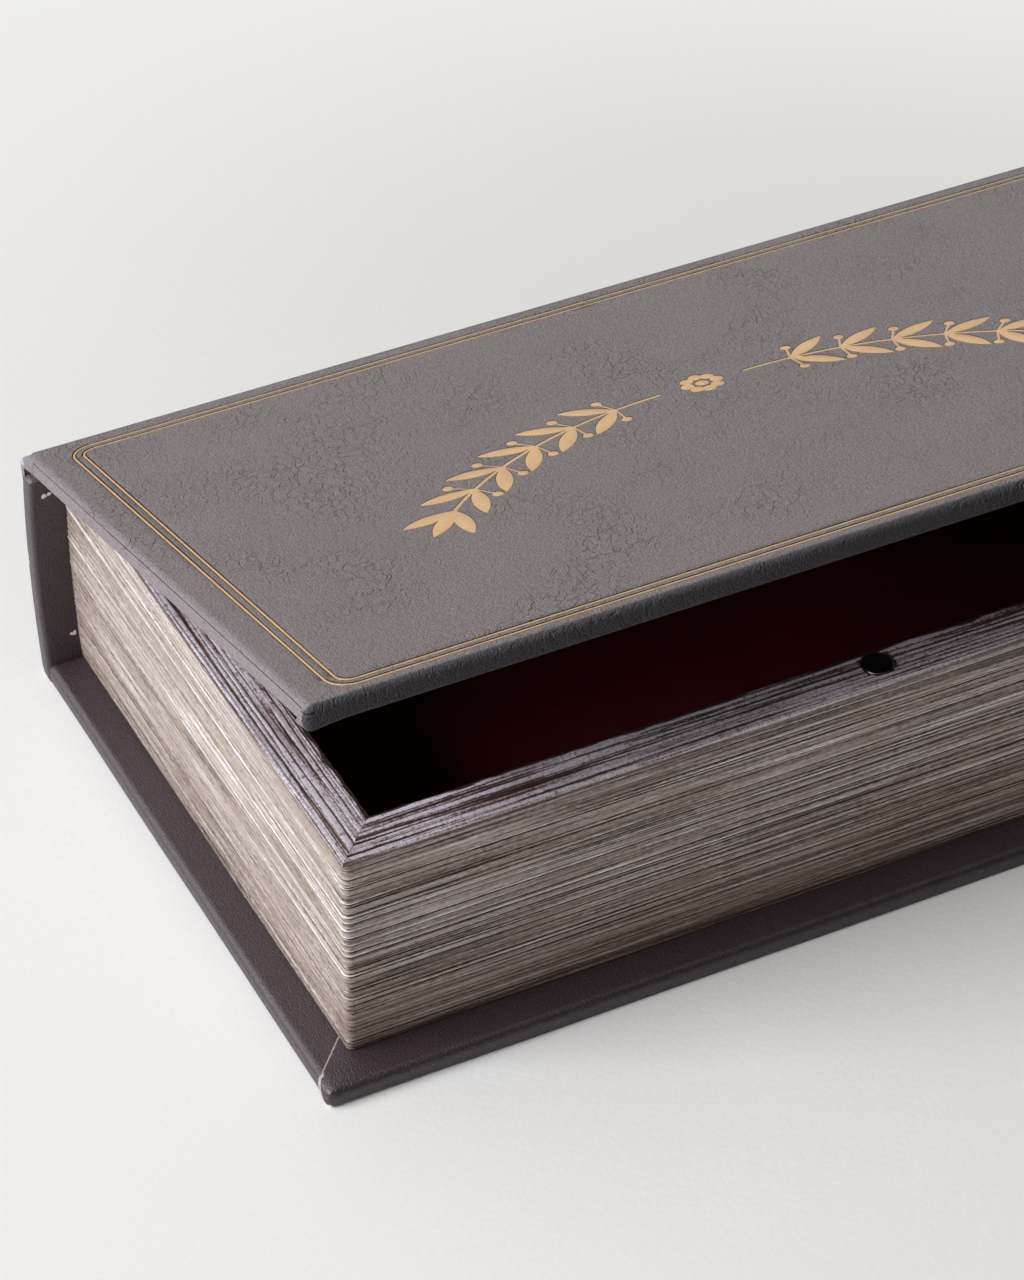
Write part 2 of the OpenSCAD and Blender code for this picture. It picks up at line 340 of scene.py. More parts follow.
# %% [markdown]
# The leatherette is a film embossed with a pebbled grain half a millimetre across. It also has
# patches of fine creases. Both are too small for the mesh, so they are bumps. The grain's hollows
# are also painted a little darker: painted shade. Two values that the mesh carries say where the
# skin rounds over an end, painted paler as partly stretch and wear and partly painted sheen, and
# where it rolls wrinkled over the front edge, painted dark as painted shade. A few named spots are
# pale: partly rubbed wear, partly painted highlight.

# %% Leatherette
end_y = case_high.y
ear_x, ear_z = -86.1 * mm, 63.1 * mm
tip = cover_place @ Vector((cover_high.x - 2.1 * mm, -end_y, 0.2 * mm))
heel_x = spine_x(0, spine_out) + 0.4 * mm
# Pale spots: mostly rubbed wear. The last two, at the cover's near tip and the back cover's near
# corner at the foot, are partly wear and partly painted highlight.
worn_and_highlight_spots = [
    (ear_x + 1.3 * mm, -end_y, ear_z + 0.5 * mm, 3.0 * mm),
    (ear_x + 1.3 * mm, end_y, ear_z + 0.5 * mm, 2.6 * mm),
    (heel_x, -end_y, 0.8 * mm, 2.4 * mm),
    (heel_x, end_y, 0.8 * mm, 1.8 * mm),
    (spine_x(32 * mm, spine_out) + 0.3 * mm, -end_y, 32 * mm, 1.8 * mm),
    (spine_x(34 * mm, spine_out) + 0.3 * mm, -end_y, 34 * mm, 1.8 * mm),
    (*tip, 1.2 * mm),
    (case_high.x - 0.6 * mm, -end_y, 0.7 * mm, 1.1 * mm)]
glue_spots = [(spine_x(54 * mm), -141.8 * mm, 54.1 * mm, 1.3 * mm),
              (spine_x(54 * mm), -140.6 * mm, 54.4 * mm, 1.2 * mm),
              (spine_x(11.7 * mm), -137.6 * mm, 11.7 * mm, 1.3 * mm)]
pebble_size = (0.62, 0.5, 0.62)
lump_size = (1.5, 0.7, 1.5)
crease_size = (6.5, 3.0, 6.5)
crease_deep = 0.34 * mm
sheen_and_stretch_pale = "#aaa3ab"
rolled_dark = "#1f1b22"


def leatherette(name, dark, light, pale_of_wear_and_highlight, spots, roughness, creased, rough, paler=0.0, shine=0.5):
    """creased: how much the creases show. rough: the grain's depth in millimetres."""
    finish = Finish(name, Specular_IOR_Level=shine)
    hollows = finish.cells("F1", pebble_size, 1.7, 1.2).rise(0.1, 0.8)
    lumps = finish.cloud(lump_size, 3.0, 0.6)
    tone = finish.cloud(30, 3.0, 0.6)
    folds = finish.cells("DISTANCE_TO_EDGE", crease_size, 9, 3.4)
    patches = finish.cloud(24, 1.5).rise(0.34, 0.76)
    creases = (1 - folds.rise(0.0, 0.07)) * patches * creased
    # The grain's hollows are painted darker: painted shade.
    lift = (1.05 - tone * 0.3 - hollows * 0.55 - (lumps - 0.5) * 0.7).kept()
    shade = finish.mix(lift, dark, light)
    # Paler where the skin rounds over the head and the tail: partly stretch and wear, partly
    # painted sheen.
    shade = finish.mix(finish.painted("end_rounding_sheen_and_stretch") * paler, shade, sheen_and_stretch_pale)
    wrinkle = finish.cloud((5, 0.7, 5), 3.0, 0.6)
    # Over the front edge's rounding: the wrinkles are bumps, the dark colour is painted shade.
    rolled = (finish.painted("rolled") + (wrinkle - 0.5) * 0.6).rise(0.25, 0.9)
    shade = finish.mix(rolled * 0.9, shade, rolled_dark)
    # Pale spots: partly rubbed wear, partly painted highlight.
    rubbed_and_highlit = (finish.near(spots) + (lumps - 0.5) * 1.3).rise(0.42, 0.55)
    shade = finish.mix(rubbed_and_highlit, shade, pale_of_wear_and_highlight)
    gloss = (lumps - 0.5) * 0.2 + hollows * 0.12 + rolled * 0.2 + (roughness - 0.06)
    deep = finish.bump(1 - creases + rolled * wrinkle * 0.4, crease_deep)
    fine = finish.bump((lumps - 0.5) * 1.2 - hollows, rough * mm, deep)
    return finish.drive(Base_Color=shade, Roughness=gloss, Normal=fine)


cover_leather = leatherette("cover_leatherette", "#4c4242", "#766c6c", "#b7b1ba", worn_and_highlight_spots,
                            roughness=0.5, creased=1.0, rough=0.13, paler=0.24)
# The turned-in skin is the same leatherette as the cover's, in darker colours: painted shade on the
# ledges, the spine's inside and ends, the joint's roll and the sheet inside the cover.
shaded_turned_leather = leatherette("shaded_turned_in_leatherette", "#2a2022", "#41353a", "#e8dcd8",
                             worn_and_highlight_spots[2:] + glue_spots, roughness=0.39, creased=0.1,
                             rough=0.06, shine=0.6)
# Darker in the dents: partly the hot-pressed colour, partly painted shade.
pressed_shaded_leather = leatherette("leatherette_pressed_and_shaded", "#1d140e", "#2d221a", "#c4bfc2", worn_and_highlight_spots,
                              roughness=0.7, creased=0.0, rough=0.05, shine=0.1)

# %% [markdown]
# The page edges are one strip of film that is embossed with fine ridges and printed in beige,
# brown and grey. The mesh carries the ridges and a value named relief, so the colour can be
# dark in the grooves and pale on the ridges: partly print, partly painted shade and highlight.
# Short fibres and specks are added by noise that is drawn out along the pages. On the front side
# the grooves and ridges are painted with more contrast, as painted shade and highlight, and the
# colour turns browner towards the bottom.

# %% Page edge film
front_side = (70, 73)
browner_low = (4, 36)


def page_film():
    finish = Finish("page_edge_film", Specular_IOR_Level=0.6, Coat_Weight=0.7,
                    Coat_Roughness=0.35)
    relief = finish.painted("relief")
    fibre = finish.cloud((5, 5, 0.2), 3.0, 0.7)
    dash = finish.cloud((1.5, 1.5, 0.3), 2.0, 0.7)
    broad = finish.cloud((16, 16, 3.2), 3.0, 0.6)
    grain = (fibre - 0.5) * 1.9 + (dash - 0.5) * 1.9
    front = finish.along(0).rise(*front_side)
    # On the front side the relief's contrast is painted stronger: painted shade and highlight.
    lift = relief * 1.25 + (relief - 0.52) * front * 0.7 + grain * 0.7 + (broad - 0.5) * 0.3
    shade = finish.mix(lift.rise(0.12, 0.5), "#20160f", "#83705f")
    shade = finish.mix(lift.rise(0.46, 0.82), shade, "#baaea6")
    shade = finish.mix(lift.rise(0.88, 1.2), shade, "#f0eef6")
    stain = (broad + grain * 0.3).rise(0.48, 0.66) * 0.5
    shade = finish.mix(stain, shade, "#80695a")
    brown = (1 - finish.along(2).rise(*browner_low)) * front * 0.5
    shade = finish.mix(brown, shade, "#66503f")
    return finish.drive(Base_Color=shade, Roughness=fibre * 0.16 + 0.36,
                        Normal=finish.bump(grain, 0.05 * mm))


page_finish = page_film()

# %% [markdown]
# The rim's film has broad smooth ridges and rough brown grooves with ragged edges. The ridges'
# lavender grey and near-white are partly their colour, partly painted sheen. It has the same
# recipe with other sizes and colours.

# %% Rim film


def rim_film():
    finish = Finish("rim_film", Specular_IOR_Level=0.8, Coat_Weight=1.0, Coat_Roughness=0.3)
    relief = finish.painted("relief")
    crumbs = finish.cloud(0.75, 3.0, 0.8)
    streak = finish.cloud(2.4, 3.0, 0.6)
    broad = finish.cloud(18)
    lift = relief + (crumbs - 0.5) * 1.3 + (streak - 0.5) * 0.4
    shade = finish.mix(lift.rise(0.25, 0.55), "#2a1510", "#6a4638")
    # Lavender grey and near-white on the ridges: partly the film's colour, partly painted sheen.
    shade = finish.mix(lift.rise(0.52, 0.68), shade, "#ada1a8")
    shade = finish.mix((lift + broad * 0.4).rise(0.82, 1.15), shade, "#e4dce6")
    speck = (crumbs * 0.6 + streak * 0.5).rise(0.6, 0.68) * 0.85
    shade = finish.mix(speck, shade, "#4a3026")
    return finish.drive(Base_Color=shade, Roughness=0.55 - lift.rise(0.3, 0.7) * 0.22,
                        Normal=finish.bump(lift.rise(0.1, 0.6), 0.12 * mm))


rim_finish = rim_film()

# %% [markdown]
# The lining is a deep red velvet paper: matt, slightly mottled, and darker where the pile lies
# down. The raw cut edges, the boards inside and the steel are hardly seen, but each gets its
# own finish, because the box is also looked at when it is open.

# %% Lining, boards, foil and metal


def velvet_paper():
    finish = Finish("lining_paper", Specular_IOR_Level=0.2)
    pile = finish.cloud(0.35, 3.0, 0.7)
    nap = finish.cloud(18, 3.0, 0.5)
    shade = finish.mix((nap * 0.8 + pile * 0.4 - 0.1).kept(), "#3f0c10", "#661519")
    return finish.drive(Base_Color=shade, Roughness=pile * 0.2 + 0.75,
                        Normal=finish.bump(pile, 0.12 * mm))


def pulp(name, dark, light, grain):
    finish = Finish(name, Specular_IOR_Level=0.25)
    fibres = finish.cloud((grain, grain * 3, grain), 4.0, 0.7)
    shade = finish.mix(fibres.rise(0.3, 0.7), dark, light)
    return finish.drive(Base_Color=shade, Roughness=fibres * 0.2 + 0.7,
                        Normal=finish.bump(fibres, 0.15 * mm))


def foil_gold():
    finish = Finish("gold_foil", Specular_IOR_Level=0.6, Metallic=0.35)
    grain = finish.cloud(0.8, 3.0, 0.6)
    patch = finish.cloud(9)
    shade = finish.mix((grain * 0.7 + patch * 0.5 - 0.1).kept(), "#9a7444", "#d8b07a")
    return finish.drive(Base_Color=shade, Roughness=grain * 0.2 + 0.3,
                        Normal=finish.bump(grain, 0.08 * mm))


def metal(name, dark, light, roughness):
    finish = Finish(name, Metallic=1.0)
    brushed = finish.cloud((0.2, 3.0, 0.2), 3.0, 0.6)
    shade = finish.mix(brushed, dark, light)
    return finish.drive(Base_Color=shade, Roughness=brushed * 0.15 + roughness)


lining_paper = velvet_paper()
raw_board = pulp("raw_board", "#8c7a64", "#b3a28a", 0.8)
fibreboard = pulp("fibreboard", "#9a7f5e", "#bfa480", 0.5)
cut_edge = pulp("cut_edge", "#9a8c82", "#c8beb6", 0.4)
gold = foil_gold()
dark_nickel = metal("dark_nickel", "#7c7778", "#8e898a", 0.14)
plain_steel = metal("plain_steel", "#8f9092", "#b4b5b7", 0.3)

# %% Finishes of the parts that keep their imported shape
kept_finishes = (
    (raw_board, "back_board spine_board front_board tray_floor"),
    (shaded_turned_leather, "back_lining spine_lining"),
    (fibreboard, "fore_edge_wall spine_side_wall head_wall tail_wall"),
    (lining_paper, "floor_lining fore_edge_lining spine_side_lining head_lining tail_lining"),
    (plain_steel, "front_keeper"))
for finish, nodes in kept_finishes:
    for node in nodes.split():
        mesh = frame["nodes"][node].data
        mesh.materials.clear()
        mesh.materials.append(finish)
    print(finish.name, "on", nodes)

# %% [markdown]
# A few helpers do what a hand does in the viewport: go into edit mode on one object, select by
# place, and cut with a plane. Another makes a grid and lays its corners along a rule, which is
# how a sheet of film or leather is wrapped round something.

# %% Modelling helpers
hair = 0.01 * mm


def only(piece):
    bpy.ops.object.select_all(action="DESELECT")
    piece.select_set(True)
    bpy.context.view_layer.objects.active = piece


def primitive(name, add, **settings):
    """Adds a primitive with nothing else selected. Its place and size go into its mesh."""
    bpy.ops.object.select_all(action="DESELECT")
    add(**settings)
    piece = bpy.context.active_object
    piece.name = piece.data.name = name
    bpy.ops.object.transform_apply(location=True, rotation=True, scale=True)
    return piece


@contextlib.contextmanager
def editing(piece):
    """Edit mode on one piece, with all of it selected."""
    only(piece)
    bpy.ops.object.mode_set(mode="EDIT")
    bpy.ops.mesh.select_all(action="SELECT")
    yield
    bpy.ops.object.mode_set(mode="OBJECT")


def pick(piece, kind, test):
    """In edit mode: selects the edges or faces that pass the test, and no others."""
    bpy.ops.mesh.select_mode(type=kind)
    bpy.ops.mesh.select_all(action="DESELECT")
    shape = bmesh.from_edit_mesh(piece.data)
    for item in shape.edges if kind == "EDGE" else shape.faces:
        if test(item):
            item.select_set(True)
    bmesh.update_edit_mesh(piece.data)


def cut(piece, place, normal, **settings):
    """Cuts the whole mesh along a plane. It keeps both sides, unless the settings say else."""
    with editing(piece):
        bpy.ops.mesh.bisect(plane_co=place, plane_no=normal, **settings)


def apply_modifier(piece, kind, **settings):
    modifier = piece.modifiers.new(kind.lower(), kind)
    for name, value in settings.items():
        setattr(modifier, name, value)
    only(piece)
    bpy.ops.object.modifier_apply(modifier=modifier.name)


def settle(piece, place):
    """Moves the mesh by a matrix and leaves the object at the origin."""
    piece.matrix_world = place
    only(piece)
    bpy.ops.object.transform_apply(location=True, rotation=True, scale=True)


def subtract(piece, cutter):
    """Cuts a shape out of a piece, and removes the cutter."""
    apply_modifier(piece, "BOOLEAN", operation="DIFFERENCE", solver="EXACT", object=cutter)
    bpy.data.objects.remove(cutter)


def smooth(piece, angle):
    only(piece)
    bpy.ops.object.shade_smooth_by_angle(angle=math.radians(angle))


def report(piece):
    """Prints how large a piece is, and how many of its edges are open."""
    shape = bmesh.new()
    shape.from_mesh(piece.data)
    loose = sum(1 for e in shape.edges if len(e.link_faces) != 2)
    volume = shape.calc_volume(signed=True) / mm ** 3
    print(f"{piece.name}: {len(shape.faces)} faces, {loose} open edges, {volume:.0f} mm3")
    shape.free()


# %% Sheets laid by a rule


def sheet(name, columns, rows, lay):
    """A grid whose corners are laid by lay(column, row)."""
    piece = primitive(name, bpy.ops.mesh.primitive_grid_add,
                      x_subdivisions=columns, y_subdivisions=rows, size=1)
    for v in piece.data.vertices:
        v.co = lay(round((v.co.x + 0.5) * columns), round((v.co.y + 0.5) * rows))
    return piece


def close_up(piece):
    """Joins corners that coincide, fills what is open and turns the faces outwards."""
    with editing(piece):
        bpy.ops.mesh.remove_doubles(threshold=0.002 * mm)
        bpy.ops.mesh.fill_holes(sides=0)
        bpy.ops.mesh.select_all(action="SELECT")
        bpy.ops.mesh.normals_make_consistent(inside=False)


def spaced(first, last, count=30):
    """Numbers at even steps, both ends included."""
    return [first + (last - first) * i / count for i in range(count + 1)]


def held(value, low=0.0):
    """The value, held between low and 1."""
    return min(1.0, max(low, value))


def soft(x, y, z):
    """Smooth noise from about -1 to 1."""
    return noise.noise(Vector((x, y, z)))


def sway(place, size, seed=0.0):
    """The same noise at a place, with lumps that are size across."""
    return soft(place.x / size + seed, place.y / size - seed, place.z / size)


# %% [markdown]
# A cover is a slab of board in a skin of leatherette. It starts as a box at its real size. One
# bevel rounds its upright corners, its top edge and its foot, and a weight on each edge says how
# softly. The edge at the joint stays square, because the joint's leather covers it.

# %% A cover's slab


def cover_slab(name, low, high, upright_r, end_r, front_r, foot_r):
    middle = (low + high) / 2
    piece = primitive(name, bpy.ops.mesh.primitive_cube_add, size=1, location=middle,
                      scale=high - low)
    weight = piece.data.attributes.new("bevel_weight_edge", "FLOAT", "EDGE")
    widest = max(upright_r, end_r, front_r, foot_r)
    for edge, part in zip(piece.data.edges, weight.data):
        a, b = (piece.data.vertices[i].co for i in edge.vertices)
        if max(a.x, b.x) < middle.x:
            continue
        if abs(a.z - b.z) > 0.5 * (high.z - low.z):
            r = upright_r
        elif a.z < middle.z:
            r = foot_r
        else:
            r = front_r if abs(a.x - b.x) < mm else end_r
        part.value = r / widest
    apply_modifier(piece, "BEVEL", limit_method="WEIGHT", width=widest, segments=6,
                   use_clamp_overlap=False)
    return piece


strip_step = 24 * mm
near_corner = [d * mm for d in (2, 4, 6.7, 9.7, 13.3)]


def strips(piece, low, high):
    """Cuts the slab both ways: in even steps, and more closely near its front and ends."""
    for axis in (0, 1):
        count = round((high[axis] - low[axis]) / strip_step)
        places = spaced(low[axis], high[axis], count)[1:-1]
        places += [high[axis] - d for d in near_corner]
        if axis == 1:
            places += [low[axis] + d for d in near_corner]
        way = Vector([float(i == axis) for i in range(3)])
        for place in places:
            cut(piece, way * place, way)


def fold_line(piece, height, width, depth, where):
    """A fine fold line round the slab's edge at one height, where the test allows. Its faces
    take the third finish, which on the front cover is dark: painted shade in the fold.
    """
    for step in (-width, 0, width):
        cut(piece, (0, 0, height + step), (0, 0, 1))
    # On the front cover the third finish is dark: painted shade in the fold.
    for face in piece.data.polygons:
        if abs(face.center.z - height) < width and abs(face.normal.z) < 0.85 and where(face.center):
            face.material_index = 2
    for v in piece.data.vertices:
        if abs(v.co.z - height) < hair and abs(v.normal.z) < 0.85 and where(v.co):
            v.co -= v.normal * depth * held(0.75 + 1.6 * sway(v.co, 17 * mm), 0.15)


def paint(piece, name, rule):
    """Gives each corner a value from 0 to 1 that the leatherette's finish reads."""
    layer = piece.data.attributes.new(name, "FLOAT", "POINT")
    for v, part in zip(piece.data.vertices, layer.data):
        part.value = held(rule(v.co))


def over_end(place):
    """How far over the rounding at the head or the tail a place lies."""
    return (abs(place.y) - end_y + 2.4 * mm) / (2.0 * mm)


wander_deep = 0.22 * mm
wander_long = 40 * mm


def uneven(piece):
    """Hand-folded edges are never quite straight: the side faces wander in and out."""
    for v in piece.data.vertices:
        if abs(v.normal.z) < 0.9:
            out = Vector((v.normal.x, v.normal.y, 0))
            much = sway(v.co, wander_long) + 0.5 * sway(v.co, wander_long / 3, 7.0)
            v.co += out * wander_deep * much


# %% [markdown]
# At each front corner the leatherette is folded on a mitre, and the front edge's skin laps over
# that of the end. A slanted plane cuts the slab there: its line runs across the turned-in side
# and on round the end face. All in front of it is lifted by the lap's thickness. A second cut
# close by leaves a narrow band, the slope of the step, for the pale cut edge of the skin.

# %% Folded corners
lap = 0.18 * mm
lip = 0.8 * mm
lip_reach = 6 * mm
cut_edge_wide = 0.26 * mm
seam_start = Vector((14.0, 8.1)) * mm
seam_edge = Vector((6.3, 0.9)) * mm
seam_end_in = 1.3 * mm
lump_reach = 10 * mm
bend_reach = 1.5 * mm


def fold_corners(piece, low, high, side_up, lump):
    """Laps the front edge's skin. side_up is 1 where the turned-in side is the slab's top."""
    face_z, far_z = (high.z, low.z) if side_up > 0 else (low.z, high.z)
    rear = high.x - turn_in
    planes = []
    for end in (1, -1):
        corner = Vector((high.x, end * high.y, face_z))
        start, edge = (corner - Vector((p.x, end * p.y, 0)) for p in (seam_start, seam_edge))
        foot = Vector((high.x - seam_end_in, end * high.y, far_z))
        normal = (edge - start).cross(foot - start).normalized()
        if normal.x < 0:
            normal.negate()
        planes.append((start, normal))
        for step in (-1, 0, 1, 2):
            cut(piece, start + normal * cut_edge_wide * step, normal)

    def past_seam(place):
        """How far in front of both seams a place is."""
        return min((place - start).dot(normal) for start, normal in planes)

    def at_end(place):
        return abs(place.y) > high.y - 1.2 * mm

    for face in piece.data.polygons:
        ahead = past_seam(face.center) / cut_edge_wide
        widest = 2 * side_up if at_end(face.center) else 0
        on_band = -1.1 < ahead < widest and face.center.x > rear
        if on_band and (side_up * face.normal.z > 0.3 or at_end(face.center)):
            face.material_index = 1
    moves = []
    for v in piece.data.vertices:
        ahead = past_seam(v.co)
        bend = min(1.0, abs(v.co.z - far_z) / bend_reach)
        move = Vector()
        if ahead > -hair and v.co.x > rear:
            move += v.normal * lap * bend
            if at_end(v.co) and ahead < lip_reach and v.co.x > high.x - 8 * mm:
                move.y += math.copysign(lip * bend * (1 - ahead / lip_reach) ** 2, v.co.y)
        plan = math.hypot(high.x - v.co.x, high.y - abs(v.co.y))
        if plan < lump_reach:
            move.z += side_up * lump * bend * (1 - plan / lump_reach) ** 1.5
        moves.append(move)
    for v, move in zip(piece.data.vertices, moves):
        v.co += move


# %% [markdown]
# The gold is stamped: each rule and leaf is pressed into the skin, and the foil lies at the
# bottom of the dent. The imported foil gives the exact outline. A copy of it, made thicker and a
# hair wider, cuts the dent with a Boolean, and another copy becomes the foil itself.

# %% Stamped foil
dent = 0.26 * mm
dent_margin = 0.16 * mm
rule_margin = 0.3 * mm
foil_thick = 0.2 * mm
foil_narrower = 0.1 * mm
foil_round = 0.09 * mm
foil_nodes = ["gold_rule_outer", "gold_rule_inner", "gold_rosette", "gold_sprig_head",
              "gold_sprig_tail"]


def level_copy(node, name, low_z, high_z, wider=0.0):
    """A copy of a foil part, laid level, that reaches from one height to another."""
    piece = bpy.data.objects.new(name, frame["nodes"][node].data.copy())
    scene.collection.objects.link(piece)
    piece.data.transform(level)

    def flatten(middle_z):
        for v in piece.data.vertices:
            v.co.z = high_z if v.co.z > middle_z else low_z

    flatten((foil_low.z + foil_high.z) / 2)
    with editing(piece):
        bpy.ops.mesh.remove_doubles(threshold=0.001 * mm)
        if wider:
            bpy.ops.transform.shrink_fatten(value=wider)
    flatten((low_z + high_z) / 2)
    return piece


def stamp(piece, node):
    """Presses the outline of a foil part into the slab."""
    wider = rule_margin if "rule" in node else dent_margin
    subtract(piece, level_copy(node, "cutter", cover_high.z - dent, cover_high.z + dent, wider))


# %% [markdown]
# The front cover: the slab, its folded corners underneath, its fold lines at head and tail, and
# then the stamped dents on top. Faces down in a dent get a darker leatherette: partly the colour
# of hot-pressing, partly painted shade in the dent.

# %% Front cover
upright_r = 1.3 * mm
cover_end_r = 2.3 * mm
cover_foot_r = 1.2 * mm
corner_lump = 0.9 * mm

front_skin = cover_slab("front_cover_skin", cover_low, cover_high, upright_r, cover_end_r,
                        1.5 * mm, cover_foot_r)
strips(front_skin, cover_low, cover_high)
for height, width, depth in ((1.15, 0.06, 0.1), (1.75, 0.1, 0.2)):
    fold_line(front_skin, height * mm, width * mm, depth * mm,
              lambda p: abs(p.y) > end_y - 2 * mm)
uneven(front_skin)
fold_corners(front_skin, cover_low, cover_high, -1, corner_lump)
for node in foil_nodes:
    stamp(front_skin, node)
close_up(front_skin)
paint(front_skin, "end_rounding_sheen_and_stretch", over_end)
# Where the skin rolls over the front edge, which the finish paints dark as painted shade.
paint(front_skin, "rolled", lambda p: (p.x - cover_high.x + 2.8 * mm) / (1.8 * mm))
for face in front_skin.data.polygons:
    inside = face.center.x < cover_high.x - 4 * mm and abs(face.center.y) < end_y - 8 * mm
    if inside and cover_high.z - 1.2 * dent < face.center.z < cover_high.z - 0.2 * dent:
        face.material_index = 2
report(front_skin)

# %% Foil in the dents
foils = []
for node in foil_nodes:
    foil_z = cover_high.z - dent
    wider = -foil_narrower if "rule" in node else 0.0
    foil = level_copy(node, node.replace("gold", "foil"), foil_z, foil_z + foil_thick, wider)
    apply_modifier(foil, "BEVEL", width=foil_round, segments=2, limit_method="ANGLE",
                   angle_limit=math.radians(60))
    foil.data.materials.clear()
    foils.append((foil, node))
    report(foil)

# %% [markdown]
# Inside the front cover a sheet is pasted over the turned-in edges. It is a thin box with soft
# edges, a shade proud of the turned-in leatherette round it.

# %% Sheet inside the front cover
sheet_proud = 0.12 * mm
paste_sheet = cover_slab("front_inside_sheet", paste_low - Vector((0, 0, sheet_proud)), paste_high,
                         0.8 * mm, 0.2 * mm, 0.2 * mm, 0.25 * mm)
report(paste_sheet)

# %% [markdown]
# The back cover lies on the table. Its inner side is on top, so the folded corners and the
# turned-in skin show all round the foot of the tray.

# %% Back cover
back_low = Vector((spine_x(0) - leather, case_low.y, 0))
back_high = Vector((case_high.x, case_high.y, back_top))
back_skin = cover_slab("back_cover_skin", back_low, back_high, upright_r, 1.7 * mm, 1.9 * mm,
                       1.1 * mm)
strips(back_skin, back_low, back_high)
fold_line(back_skin, 2.95 * mm, 0.13 * mm, 0.22 * mm, lambda p: p.x > back_high.x - mm)
uneven(back_skin)
fold_corners(back_skin, back_low, back_high, 1, 0.0)
report(back_skin)

# %% [markdown]
# The spine is a curved board in the same skin. Its outline, seen from the tail, goes up the
# outer curve, over the top and down the inner curve. The grid is laid round that outline and
# along the book, and its two ends are closed and bevelled.

# %% Spine
spine_rows = 22
foot_r = 1.3 * mm
end_proud = 0.12 * mm


def spine_outline():
    """Points (x, z) round the spine's outline, from the outer foot over the top."""
    outer = [(spine_x(z, spine_out), z) for z in spaced(foot_r, spine_top, spine_rows)]
    inner = [(spine_x(z), z) for z in spaced(spine_top, 0, spine_rows)]
    foot_x = spine_x(0, spine_out)
    return outer + inner + [(foot_x + foot_r, 0), (foot_x + 0.3 * foot_r, 0.3 * foot_r)]


def along_book(name, outline_at, places, end_r=0.0, shift=None):
    """A closed outline (x, z) at each place along Y. end_r rounds the edges of both ends, and
    shift moves a point by where it is."""
    rings = []
    for y in places:
        ring = outline_at(min(y - places[0], places[-1] - y))
        rings.append(ring + ring[:1])

    def lay(i, j):
        x, z = rings[i][j]
        place = Vector((x, places[i], z))
        return place + shift(place) if shift else place

    def at_end(edge):
        return any(all(abs(v.co.y - end) < hair for v in edge.verts)
                   for end in (places[0], places[-1]))

    piece = sheet(name, len(places) - 1, len(rings[0]) - 1, lay)
    close_up(piece)
    if end_r:
        with editing(piece):
            pick(piece, "EDGE", at_end)
            bpy.ops.mesh.bevel(offset=end_r, segments=4, affect="EDGES")
    return piece


spine_places = spaced(case_low.y - end_proud, case_high.y + end_proud)
spine_skin = along_book("spine_skin", lambda d: spine_outline(), spine_places, 1.1 * mm)
# The spine's inner face and ends take the darker turned-in leatherette: painted shade.
for face in spine_skin.data.polygons:
    face.material_index = 1 if face.normal.x > 0.5 or abs(face.normal.y) > 0.9 else 0
report(spine_skin)

# %% [markdown]
# The joint: above the spine a roll of leatherette lies on the hinge axis and fills the fold
# from inside. It stays with the case while the cover turns about it.

# %% Roll in the joint
roll_r = cover_high.z
roll_steps = 27


def on_circle(r, degrees):
    """A point (x, z) round the hinge axis. 0 degrees is +X, 90 is up."""
    turn = math.radians(degrees)
    return (hinge_place.x + r * math.cos(turn), hinge_place.z + r * math.sin(turn))


def roll_outline():
    points = [on_circle(roll_r, degrees) for degrees in spaced(-60, 240, roll_steps)]
    points.append((spine_x(spine_top, spine_out * 0.6), spine_top - leather))
    points.append((spine_x(spine_top) - 0.3 * mm, spine_top - leather))
    return points


roll_short = 1.8 * mm
roll_places = spaced(case_low.y + roll_short, case_high.y - roll_short)
joint_roll = along_book("joint_roll", lambda d: roll_outline(), roll_places, 0.6 * mm)
report(joint_roll)

# %% [markdown]
# Over the roll goes the outer skin, from the spine's back up to the corner and over to the
# front cover. Near both ends its outline shrinks, column by column, so that its edges are as
# round as the cover's, and it reaches down to close the fold. It has to bend when the cover
# opens; it is tied to neither body.

# %% Skin of the joint
skin_foot = spine_top - 2.5 * mm
skin_thick = 1.4 * mm
skin_proud = 0.03 * mm
fill_r = roll_r - 0.5 * mm
fill_steps = 16
end_wall = 2.1 * mm
wrinkle_high = 0.12 * mm


def on_cover(u, v):
    """A point (x, z) that is u along the closed cover from the hinge axis, and v up."""
    place = cover_place @ Vector((u, 0, v))
    return (place.x, place.z)


def bezier(a, b, c, steps):
    """Points on the curve that leaves a towards b and comes to c."""
    for t in spaced(0, 1, steps):
        yield tuple((1 - t) ** 2 * a[k] + 2 * t * (1 - t) * b[k] + t * t * c[k] for k in (0, 1))


def eased(d, r):
    """How far an edge rounded by r has dropped at a distance d from the end."""
    left = r - min(d, r)
    return r - math.sqrt(r * r - left * left)


